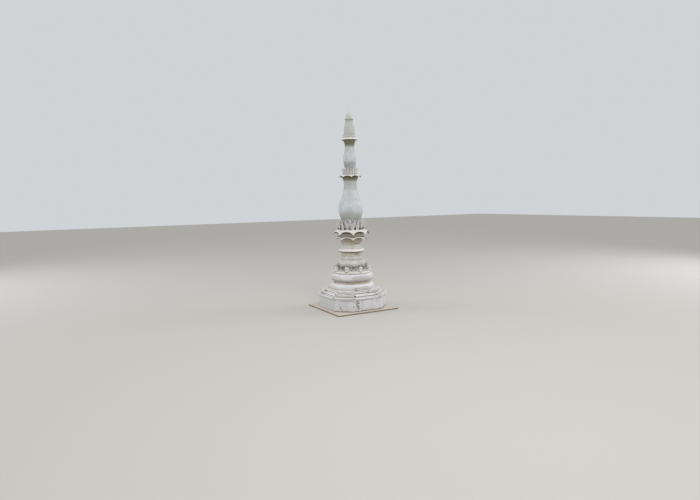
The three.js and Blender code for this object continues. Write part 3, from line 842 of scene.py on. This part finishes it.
# Eight-sided mouldings and bodies: strands of arris radius and height, a corner between two strands
bodies = {
    "base_cyma": {
        "node": "base_moulding", "material": torusWash, "slot": "moulding_limewash", "roundness": 0.25,
        "spalls": [{"at": (-0.465, -1.118, 1.17), "facing": -11, "ragged": 0.05, "lumps": [
            (0.07, 0.03, 0.07, 0.06, 0.03), (0.14, -0.07, 0.09, 0.05, 0.03),
            (0.03, -0.09, 0.05, 0.05, 0.02)]}],
        "strands": [
            [(1.222, 1.01), (1.230, 1.035), (1.228, 1.062)],
            [(1.196, 1.078)],
            [(1.216, 1.12), (1.222, 1.18), (1.206, 1.25), (1.162, 1.315), (1.095, 1.362), (1.035, 1.385)],
        ],
    },
    "recess_band": {
        "node": "recess_course", "material": recessWash, "slot": "stained_limewash", "roundness": 0.3,
        "strands": [[(1.01, 1.385), (0.985, 1.41)], [(0.985, 1.495)], [(1.01, 1.52)]],
    },
    "great_torus": {
        "node": "torus_moulding", "material": torusWash, "slot": "moulding_limewash", "roundness": 0.4,
        "spalls": [{"at": (-0.30, -1.045, 1.60), "facing": 0, "ragged": 0.04, "lumps": [
            (0.0, 0.0, 0.14, 0.03, 0.025), (0.10, 0.01, 0.10, 0.03, 0.02), (0.52, 0.02, 0.09, 0.03, 0.02)]}],
        "strands": [
            [(1.030, 1.52), (1.080, 1.542), (1.116, 1.59), (1.132, 1.65), (1.135, 1.715), (1.127, 1.785),
             (1.104, 1.845), (1.065, 1.890), (1.030, 1.915)],
        ],
    },
    "ledge_fillet": {
        "node": "bracket_ledge", "material": ledgeWash, "slot": "moulding_limewash", "roundness": 0.2,
        "strands": [
            [(1.052, 1.915), (1.052, 1.950)],
            [(1.076, 1.962), (1.084, 1.985), (1.080, 2.016), (1.062, 2.036)],
            [(1.03, 2.045)],
        ],
    },
    "cushion_core": {
        "node": "carved_cushion", "material": carvedWash, "slot": "carved_stucco", "roundness": 0.25,
        "strands": [
            [(0.850, 2.045), (0.838, 2.072)],
            [(0.775, 2.085), (0.730, 2.12), (0.715, 2.18), (0.730, 2.25), (0.780, 2.30)],
            [(0.800, 2.330), (0.802, 2.395), (0.764, 2.475), (0.715, 2.548), (0.65, 2.608)],
            [(0.635, 2.63)],
        ],
    },
    "lower_neck_wall": {
        "node": "lower_neck", "material": neckWash, "slot": "body_limewash", "roundness": 0.2,
        "strands": [
            [(0.622, 2.63), (0.582, 2.70), (0.552, 2.785), (0.550, 2.855)],
            [(0.564, 2.87), (0.574, 2.89)],
            [(0.560, 2.91)],
            [(0.560, 2.965)],
            [(0.571, 2.985)],
            [(0.572, 3.045)],
        ],
        "spalls": [{"at": (-0.02, -0.528, 2.945), "facing": 0, "ragged": 0.05, "lumps": [
            (0.0, 0.0, 0.14, 0.05, 0.06), (0.12, 0.004, 0.16, 0.034, 0.05),
            (-0.10, 0.006, 0.08, 0.03, 0.04)]}],
    },
    "waist_moulding": {
        "node": "waist_band", "material": waistWash, "slot": "moulding_limewash", "roundness": 0.2,
        "strands": [
            [(0.655, 3.045), (0.692, 3.062)],
            [(0.700, 3.10), (0.697, 3.15), (0.668, 3.195), (0.625, 3.225)],
        ],
    },
    "upper_neck_wall": {
        "node": "upper_neck", "material": neckWash, "slot": "stained_limewash", "roundness": 0.2,
        "strands": [
            [(0.608, 3.225), (0.575, 3.30), (0.558, 3.40), (0.556, 3.455)],
            [(0.571, 3.465), (0.571, 3.490)],
            [(0.548, 3.500)],
            [(0.548, 3.525)],
            [(0.566, 3.58), (0.589, 3.64)],
        ],
        "spalls": [{"at": (0.06, -0.522, 3.512), "facing": 0, "ragged": 0.03, "lumps": [
            (0.0, 0.0, 0.20, 0.035, 0.04), (-0.13, 0.005, 0.12, 0.028, 0.035),
            (0.13, -0.004, 0.10, 0.03, 0.035)]}],
    },
    "main_bulb_shell": {
        "node": "main_bulb", "material": bodyWash, "slot": "body_limewash", "roundness": 0.45,
        "strands": [
            [(0.484, 4.24), (0.486, 4.45), (0.497, 4.64), (0.520, 4.775), (0.560, 4.89), (0.605, 5.03),
             (0.644, 5.184), (0.655, 5.34), (0.640, 5.50), (0.592, 5.67), (0.533, 5.835), (0.471, 6.02),
             (0.411, 6.20), (0.370, 6.352), (0.346, 6.50), (0.341, 6.65), (0.350, 6.80), (0.372, 6.89),
             (0.405, 6.96)],
        ],
    },
    "middle_bulb_shell": {
        "node": "middle_bulb", "material": bodyWash, "slot": "body_limewash", "roundness": 0.45,
        "strands": [
            [(0.277, 7.16), (0.283, 7.36), (0.289, 7.50), (0.303, 7.65), (0.335, 7.80), (0.352, 7.975),
             (0.345, 8.135), (0.297, 8.31), (0.255, 8.468), (0.237, 8.60),
             (0.252, 8.70), (0.284, 8.84), (0.325, 8.96)],
        ],
        "step": 0.035, "edge": 0.010, "wave": 0.004, "dent": 0.002,
    },
    "top_bulb_shell": {
        "node": "top_bulb", "material": bodyWash, "slot": "body_limewash", "roundness": 0.45,
        "strands": [
            [(0.279, 9.115), (0.287, 9.25), (0.291, 9.37), (0.286, 9.49), (0.263, 9.66), (0.220, 9.815),
             (0.197, 9.94), (0.205, 10.06)],
        ],
        "step": 0.03, "edge": 0.010, "wave": 0.004, "dent": 0.002,
    },
    "finial_disc": {
        "node": "finial_plate", "material": plateWash, "slot": "moulding_limewash",
        "strands": [
            [(0.215, 10.06), (0.272, 10.066)],
            [(0.289, 10.084), (0.288, 10.112)],
            [(0.18, 10.125)],
        ],
        "step": 0.02, "edge": 0.004, "wave": 0.004, "dent": 0.002, "cuts": 3,
    },
}
usualBody = {"step": 0.045, "cuts": 5, "roundness": 0.0, "edge": 0.014, "wave": 0.010, "dent": 0.005,
             "spalls": []}
for name, own in bodies.items():
    body = {**usualBody, **own}
    piece = eightSided(body["strands"], body["step"], body["cuts"], body["roundness"])
    trowel(piece, body["wave"], body["dent"], body["edge"])
    piece.data.materials.append(body["material"])
    for spot in body["spalls"]:
        breakAway(piece, spot)
    finish(piece, name, None, body["slot"], body["node"])
print("stage: mouldings and bulbs modelled")

# Bud
bud = {"faces": 16, "step": 0.025, "dent": 0.004, "strands": [
    [(0.150, 10.125), (0.164, 10.15), (0.166, 10.19), (0.162, 10.258), (0.134, 10.325), (0.098, 10.388),
     (0.046, 10.455), (0.012, 10.498)]]}
points = profile(bud["strands"], bud["step"])
piece = newRing(bud["faces"], points[0], "NGON")
drawUp(points)
leaveEdit()
trowel(piece, dent=bud["dent"])
finish(piece, "bud_tip", budWash, "bud_limewash", "finial_bud", smooth=50)
print("stage: bud modelled")

# Lotus flanges: a spreading plate with a hanging point at each arris and an arch between two
flanges = {
    "great_flange_lower": {
        "node": "lower_lotus_flange", "material": lowFlangeWash, "slot": "stained_limewash",
        "hub": 0.600, "foot": 3.64, "under": 3.770, "rim": 0.868, "rimTop": 3.865, "lip": 0.056,
        "seat": 0.72, "top": 3.866, "drop": 0.130, "curl": 0.012, "edge": 0.010,
    },
    "great_flange_upper": {
        "node": "upper_lotus_flange", "material": flangeWash, "slot": "moulding_limewash",
        "neck": 0.690, "hub": 0.660, "foot": 3.866, "under": 4.085, "rim": 0.986, "rimTop": 4.168,
        "lip": 0.026, "seat": 0.80, "top": 4.24, "drop": 0.20, "curl": 0.018, "edge": 0.010,
    },
    "middle_flange": {
        "node": "middle_lotus_flange", "material": middleFlangeWash, "slot": "moulding_limewash",
        "hub": 0.415, "foot": 6.96, "under": 7.05, "rim": 0.602, "rimTop": 7.115, "lip": 0.034,
        "seat": 0.44, "top": 7.16, "drop": 0.09, "curl": 0.006, "edge": 0.010,
    },
    "top_flange": {
        "node": "top_lotus_flange", "material": smallFlangeWash, "slot": "moulding_limewash",
        "neck": 0.328, "hub": 0.370, "foot": 8.96, "under": 8.978, "rim": 0.450, "rimTop": 9.036,
        "lip": 0.054, "seat": 0.34, "top": 9.115, "drop": 0.020, "curl": 0.006, "edge": 0.006,
    },
}


# how near a vertex has to lie to belong to a column, as a share of half a side, or to a ring, in metres
flangeGrid = {"columns": 6, "onColumn": 0.05, "onRing": 0.0006, "leastFall": 0.0005}


def lotusFlange(size):
    hub, rim, under, rimTop = size["hub"], size["rim"], size["under"], size["rimTop"]
    underRim = rimTop - size["lip"]
    reach = rim - hub
    points = profile([
        [(size.get("neck", hub), size["foot"]), (hub, under)],
        [(hub + reach * 0.3, under + 0.25 * (underRim - under)), (hub + reach * 0.65, underRim),
         (rim - 0.006, underRim)],
        [(rim, rimTop)],
        [(hub + reach * 0.75, rimTop + 0.45 * (size["top"] - rimTop)), (size["seat"], size["top"])],
    ], reach / 5)
    columns = flangeGrid["columns"]       # from the middle of a side to its arris
    piece = newRing(sides, points[0])
    bpy.ops.mesh.subdivide(number_cuts=2 * columns - 1)
    bpy.ops.mesh.edge_face_add()
    drawUp(points)
    normalsOut()
    bpy.ops.mesh.select_mode(type="VERT")
    # the arch: each column of the plate is lowered more the nearer it lies to an arris and the rim
    for column in range(columns + 1):
        across = column / columns
        for radius in sorted({round(r, 4) for r, z in points if r > hub + 0.004}):
            out = (radius - hub) / reach
            fall = size["drop"] * across ** 3 * out ** 2.4
            if fall < flangeGrid["leastFall"]:
                continue

            def onColumn(v):
                # radius of the ring that the vertex is on, measured at its arrises
                turn = math.atan2(v.co.y, v.co.x) / sideAngle
                turn = (turn - round(turn)) * sideAngle
                ring = math.hypot(v.co.x, v.co.y) * math.cos(turn) / math.cos(halfSide)
                share = abs(math.tan(turn)) / math.tan(halfSide)
                return (abs(share - across) < flangeGrid["onColumn"]
                        and abs(ring - radius) < flangeGrid["onRing"]
                        and v.co.z > under - size["drop"] - 0.01)

            if pick("VERT", onColumn):
                bpy.ops.transform.translate(value=(0, 0, -fall))
                if across == 1 and out > 0.95:
                    grown = 1 + size["curl"]
                    bpy.ops.transform.resize(value=(grown, grown, 1), center_override=(0, 0, 0))
    leaveEdit()
    return piece


for name, size in flanges.items():
    piece = lotusFlange(size)
    trowel(piece, dent=0.004, edge=size["edge"], angle=50)
    finish(piece, name, size["material"], size["slot"], size["node"], smooth=40)
print("stage: lotus flanges modelled")


# Petals: one is modelled from a grid, then copied round
petalRules = {"rows": 11, "columns": 6, "blunt": 0.015, "bend": 2.2, "rub": 0.3}


def petal(size):
    tall, bed, belly = size["tall"], size["bed"], size["belly"]
    rows, columns, blunt = petalRules["rows"], petalRules["columns"], petalRules["blunt"]
    deselectAll()
    bpy.ops.mesh.primitive_grid_add(x_subdivisions=columns, y_subdivisions=rows, size=1)
    piece = bpy.context.object
    piece.scale = (size["width"], tall, 1)
    piece.rotation_euler = (math.radians(90), 0, 0)
    piece.location = (0, -size["foot"], bed + tall / 2)
    edit(placed())

    def onRow(v, row):
        return abs(v.co.z - bed - tall * row / rows) < tall / rows * 0.3

    for row in range(rows + 1):
        up = row / rows
        # outline: a little wider above the foot, then drawn to a point
        wide = size["base"] + (1 - size["base"]) * math.sin(min(1, up / belly) * math.pi / 2)
        if up > belly:
            wide = (1 - ((up - belly) / (1 - belly)) ** size["sharp"]) * (1 - blunt) + blunt
        pick("VERT", lambda v: onRow(v, row))
        bpy.ops.transform.resize(value=(wide, 1, 1), center_override=(0, 0, 0))
        bpy.ops.transform.translate(value=(0, -size["flare"] * up ** petalRules["bend"], 0))
    for column in range(columns + 1):
        # cupped towards the body at its sides, with a ridge down the middle
        side = abs(2 * column / columns - 1)
        inward = size["cup"] * side ** 2 - (size["ridge"] if side < 0.01 else 0)
        for row in range(rows + 1):
            cells = sorted((v.co.x, v.index) for v in bmesh.from_edit_mesh(piece.data).verts if onRow(v, row))
            wanted = cells[column][1]
            pick("VERT", lambda v: v.index == wanted)
            bpy.ops.transform.translate(value=(0, inward, 0))
    leaveEdit()
    thicken(piece, size["thick"])
    rubEdges(piece, size["thick"] * petalRules["rub"], 50)
    return piece


petalRings = {
    "great_crown_outer": {
        "node": "great_petals_outer", "count": 16, "start": 0, "foot": 0.728, "bed": 4.235, "tall": 0.400,
        "width": 0.175, "thick": 0.040, "base": 0.90, "belly": 0.38, "sharp": 1.35,
        "flare": 0.070, "cup": 0.040, "ridge": 0.014,
    },
    "great_crown_inner": {
        "node": "great_petals_inner", "count": 16, "start": 0.5, "foot": 0.605, "bed": 4.235, "tall": 0.525,
        "width": 0.205, "thick": 0.040, "base": 0.86, "belly": 0.36, "sharp": 1.3,
        "flare": 0.06, "cup": 0.034, "ridge": 0.014,
    },
    "middle_crown": {
        "node": "middle_petals", "count": 16, "start": 0, "foot": 0.370, "bed": 7.155, "tall": 0.36,
        "width": 0.118, "thick": 0.034, "base": 0.95, "belly": 0.55, "sharp": 2.2,
        "flare": 0.05, "cup": 0.018, "ridge": 0.008,
    },
    "top_crown": {
        "node": "top_petals", "count": 16, "start": 0, "foot": 0.315, "bed": 9.110, "tall": 0.165,
        "width": 0.118, "thick": 0.026, "base": 0.92, "belly": 0.45, "sharp": 2.0,
        "flare": 0.018, "cup": 0.014, "ridge": 0.005,
    },
}
lowest = 0.90         # no two were modelled to the same height, and none lower than this share of it
for name, size in petalRings.items():
    first = petal(size)
    petals = [first]
    turn = 2 * math.pi / size["count"]
    for i in range(1, size["count"]):
        piece = copyTurned(first, turn * i)
        piece.matrix_world = Matrix.Translation((0, 0, size["bed"])) @ Matrix.Scale(
            random.uniform(lowest, 1.0), 4, (0, 0, 1)) @ Matrix.Translation((0, 0, -size["bed"]))
        petals.append(placed())
    ring = joined(petals)
    if size["start"]:
        turned(ring, turn * size["start"])
    trowel(ring, wave=0.012, dent=0.006)
    finish(ring, name, petalWash, "petal_stucco", size["node"], smooth=45)
print("stage: petals modelled")

# Scroll brackets: an outline with a rolled head, drawn on the middle of the side that looks along -Y
bracket = {
    "width": 0.165, "rub": 0.022, "step": 0.018, "ribCord": 0.013,
    # the coil on each cheek: its middle, radius, cord, points, first angle and degrees from point to point
    "eye": (0.957, 2.232), "roll": 0.052, "cord": 0.012, "taper": 0.55, "points": 30, "from": -60, "by": 19,
    "stem": [(1.025, 2.055), (1.014, 2.105), (0.990, 2.150)],
    "rib": [(1.040, 2.060), (1.046, 2.100), (1.026, 2.136), (1.018, 2.168), (1.028, 2.212), (1.022, 2.258),
            (0.990, 2.296), (0.950, 2.302)],
    "outline": [
        [(0.845, 2.040), (0.95, 2.040), (1.036, 2.040)],
        [(1.048, 2.066), (1.046, 2.100), (1.026, 2.132), (1.016, 2.168), (1.026, 2.210),
         (1.022, 2.256), (0.994, 2.292), (0.956, 2.302), (0.916, 2.290), (0.890, 2.256), (0.888, 2.216),
         (0.908, 2.180)],
        [(0.902, 2.140), (0.872, 2.104), (0.838, 2.075), (0.845, 2.040)],
    ],
}
piece = drawLine([(0, -r, z) for r, z in profile(bracket["outline"], bracket["step"])])
selectAll()
bpy.ops.mesh.remove_doubles(threshold=0.004)
bpy.ops.mesh.edge_face_add()
bpy.ops.transform.translate(value=(-bracket["width"] / 2, 0, 0))
extrude((bracket["width"], 0, 0))
normalsOut()
leaveEdit()
rubEdges(piece, bracket["rub"], segments=3)
parts = [piece]
eyeR, eyeZ = bracket["eye"]
for cheek in (-0.49, 0.49):
    flank = cheek * bracket["width"]
    coil = []
    for i in range(bracket["points"]):
        angle = math.radians(bracket["from"] + i * bracket["by"])
        reach = bracket["roll"] * (1 - i / (bracket["points"] + 4))
        coil.append((flank, -(eyeR + reach * math.cos(angle)), eyeZ + reach * math.sin(angle)))
    stem = [(flank, -r, z) for r, z in bracket["stem"]]
    parts.append(strap(fair(stem + [coil[0]], 0.02)[:-1] + coil, bracket["cord"], bracket["taper"]))
parts.append(strap([(0, -r, z) for r, z in fair(bracket["rib"], 0.02)], bracket["ribCord"]))
first = joined(parts)
for i in range(sides):
    # numbered from +X, as the CAD nodes are
    piece = copyTurned(first, math.pi / 2 + i * sideAngle)
    trowel(piece, wave=0.010, dent=0.007)
    finish(piece, f"bracket_scroll_{i + 1}", bracketWash, "petal_stucco", f"scroll_bracket_{i + 1}",
           smooth=45)
bpy.data.objects.remove(first)
print("stage: scroll brackets modelled")

# Carving on the cushion: scrolls in the hollow, a leaf curl on each arris, a lobed leaf on the swell, bosses
relief = {
    "sweep": [(2.045, 0.850), (2.085, 0.815), (2.120, 0.790), (2.180, 0.782), (2.250, 0.796), (2.310, 0.812),
              (2.360, 0.815), (2.420, 0.805), (2.490, 0.762), (2.560, 0.705), (2.630, 0.640)],
    "round": 0.25, "cord": 0.019, "fineCord": 0.01425, "sunk": 0.012, "leaf": 0.034, "rub": 0.010,
    # across and height of each boss, and its radius
    "bosses": [(0.090, 2.330, 0.026), (0.185, 2.195, 0.020)], "middleBoss": (0.0, 2.385, 0.050),
}


def cushionPoint(across, height, lift, middle=0.0):
    # across in metres from the middle of the side (or from an arris), lift from the cushion's skin
    sweep = relief["sweep"]
    for (z0, r0), (z1, r1) in zip(sweep, sweep[1:]):
        if z0 <= height <= z1 or (z1 == sweep[-1][0] and height > z1):
            radius = r0 + (r1 - r0) * (height - z0) / (z1 - z0)
            break
    else:
        radius = sweep[0][1]
    turn = across / radius + middle
    off = (turn + halfSide) % sideAngle - halfSide
    flat = math.cos(halfSide) / math.cos(off)
    radius = radius * (1 + (flat - 1) * (1 - relief["round"])) + lift
    return (radius * math.sin(turn), -radius * math.cos(turn), height)


winding = {"perTurn": 16, "inwards": 0.78}      # points to a turn, and how far in towards the eye they wind


def spiral(scroll):
    across, height = scroll["eye"]
    count = round(scroll["turns"] * winding["perTurn"])
    points = []
    for i in range(count + 1):
        reach = scroll["reach"] * (1 - winding["inwards"] * i / count)
        angle = scroll["start"] + i * 2 * math.pi / winding["perTurn"]
        points.append((across + scroll["way"] * reach * math.cos(angle), height + reach * math.sin(angle)))
    return points


scrolls = [
    {"stem": [(0.100, 2.075), (0.125, 2.115)], "eye": (0.185, 2.195), "start": math.pi, "turns": 1.5,
     "reach": 0.058, "way": 1, "cord": relief["cord"]},
    {"stem": [(0.105, 2.300), (0.190, 2.290), (0.262, 2.240)], "eye": (0.268, 2.125), "start": 0.5 * math.pi,
     "turns": 1.4, "reach": 0.052, "way": -1, "cord": relief["cord"]},
    {"stem": [(0.185, 2.070), (0.225, 2.070)], "eye": (0.225, 2.098), "start": -0.5 * math.pi, "turns": 0.8,
     "reach": 0.028, "way": 1, "cord": relief["fineCord"]},
]
parts = []
for side in (-1, 1):
    for scroll in scrolls:
        line = scroll["stem"] + spiral(scroll)
        parts.append(strap([cushionPoint(side * x, z, -relief["sunk"]) for x, z in line], scroll["cord"]))


curl = {"half": 0.085, "tip": 0.008, "foot": 0.865, "lean": 0.105, "dished": 0.030, "veins": 0.012,
        "low": 2.040, "tall": 0.225, "droop": 0.02}
hanging = {"half": 0.235, "tip": 0.006, "drawnIn": 0.35, "low": 2.298, "tall": 0.245, "lift": 0.006,
           "lobes": 0.012, "rolled": 0.010}


def leafCurl(across, up):
    # stands on the ledge in front of an arris and rolls outwards
    turn = 2 * across - 1
    wide = curl["half"] * (1 - up ** 2.4) + curl["tip"]
    out = curl["foot"] + curl["lean"] * up ** 2.6
    out += curl["veins"] * math.cos(turn * 7) - curl["dished"] * turn * turn
    return (turn * wide, -out, curl["low"] + curl["tall"] * up - curl["droop"] * up ** 6)


def hangingLeaf(across, up):
    # three lobes that hang over the swell, from under the neck down to its lower edge
    turn = 2 * across - 1
    wide = hanging["half"] * (1 - (1 - up) ** 3.2) ** 0.8 + hanging["tip"]
    lobe = hanging["lobes"] * abs(math.cos(turn * 1.5 * math.pi)) * math.sin(math.pi * up)
    lift = hanging["lift"] + lobe - hanging["rolled"] * abs(turn) ** 3
    height = hanging["low"] + hanging["tall"] * up
    return cushionPoint(turn * wide * (1 - hanging["drawnIn"] * up), height, lift, halfSide)


def leaf(columns, rows, rule):
    piece = shapeSheet(columns, rows, rule)
    thicken(piece, relief["leaf"])
    rubEdges(piece, relief["rub"])
    return piece


parts.append(turned(leaf(8, 9, leafCurl), halfSide))
parts.append(leaf(12, 10, hangingLeaf))


# how far each ring of a boss is pushed out, as a share of its radius, and then drawn in
bossRings = ((0.35, 1.0), (0.25, 0.78), (0.15, 0.55), (-0.12, 0.6), (0.25, 0.5))


def bossOn(across, height, size):
    # a small domed flower, notched into four petals
    deselectAll()
    bpy.ops.mesh.primitive_circle_add(vertices=16, radius=size, fill_type="NGON",
                                      rotation=(math.radians(90), 0, 0))
    boss = placed()
    edit(boss, "FACE")
    selectAll()
    for push, share in bossRings:
        extrude((0, -push * size, 0))
        bpy.ops.transform.resize(value=(share, 1, share))
    bpy.ops.mesh.select_mode(type="VERT")

    def atNotch(v):
        place = round(math.atan2(v.co.z, v.co.x) * 8 / math.pi)
        return math.hypot(v.co.x, v.co.z) > size * 0.7 and place % 4 == 0

    pick("VERT", atNotch)
    bpy.ops.transform.resize(value=(0.82, 1, 0.82), center_override=(0, 0, 0))
    selectAll()
    bpy.ops.transform.translate(value=cushionPoint(across, height, -relief["sunk"]))
    leaveEdit()
    return boss


parts.append(bossOn(*relief["middleBoss"]))
for side in (-1, 1):
    for across, height, size in relief["bosses"]:
        parts.append(bossOn(side * across, height, size))
first = joined(parts)
carving = joined([first] + [copyTurned(first, i * sideAngle) for i in range(1, sides)])
trowel(carving, wave=0.012, dent=0.006)
finish(carving, "cushion_carving", carvedWash, "carved_stucco", "carved_cushion", smooth=45)
print("stage: carving modelled")

# Floor, light and camera
studio = {"wide": 240, "colour": "#CFCBC4"}
deselectAll()
bpy.ops.mesh.primitive_plane_add(size=studio["wide"], location=(0, 0, 0))
floor = bpy.context.object
floor.name = "studio_floor"
floorPaint, tree, shader = newMaterial("paleFloorPaint", 0.9, 0.1)
shader.inputs["Base Color"].default_value = linear(studio["colour"])
floor.data.materials.append(floorPaint)

daylight = {"colour": "#E9ECEF", "strength": 0.78}
world = bpy.data.worlds.new("softDaylight")
world.use_nodes = True
background = world.node_tree.nodes["Background"]
background.inputs["Color"].default_value = linear(daylight["colour"])
background.inputs["Strength"].default_value = daylight["strength"]
bpy.context.scene.world = world

lights = {
    "key": {"place": (-6.0, -21.5, 20.0), "size": 16.0, "power": 2100, "colour": "#FFFAF6"},
    "leftEdge": {"place": (-29.5, 21.0, 16.0), "size": 22.0, "power": 3000, "colour": "#F6FAFF"},
    "rightEdge": {"place": (34.0, -10.0, 16.0), "size": 22.0, "power": 3600, "colour": "#F6FAFF"},
}
aim = Vector((0, 0, 4.5))      # the middle of the stupa, about
for name, light in lights.items():
    deselectAll()
    bpy.ops.object.light_add(type="AREA", location=light["place"])
    lamp = bpy.context.object
    lamp.name = name
    lamp.data.shape = "DISK"
    lamp.data.size = light["size"]
    lamp.data.energy = light["power"]
    lamp.data.color = linear(light["colour"])[:3]
    lamp.rotation_euler = (aim - Vector(light["place"])).to_track_quat("-Z", "Y").to_euler()

# degrees and metres; focal and wide are in pixels
view = {"azimuth": -29.0, "distance": 28.3, "eye": 5.82, "down": 5.43, "roll": 1.1, "aside": 0.163,
        "focal": 526.0, "wide": 700, "sensor": 36.0, "farthest": 400}
azimuth = math.radians(view["azimuth"])
bpy.ops.object.camera_add(location=(
    math.sin(azimuth) * view["distance"], -math.cos(azimuth) * view["distance"], view["eye"]))
camera = bpy.context.object
camera.name = "photograph_view"
camera.data.sensor_width = view["sensor"]
camera.data.lens = view["sensor"] * view["focal"] / view["wide"]
camera.data.clip_end = view["farthest"]
camera.rotation_euler = (Matrix.Rotation(azimuth + math.radians(view["aside"]), 3, "Z")
                         @ Matrix.Rotation(math.radians(90 - view["down"]), 3, "X")
                         @ Matrix.Rotation(-math.radians(view["roll"]), 3, "Z")).to_euler()
bpy.context.scene.camera = camera
bpy.context.scene.view_settings.view_transform = "Standard"
print("stage: floor, light and camera set")
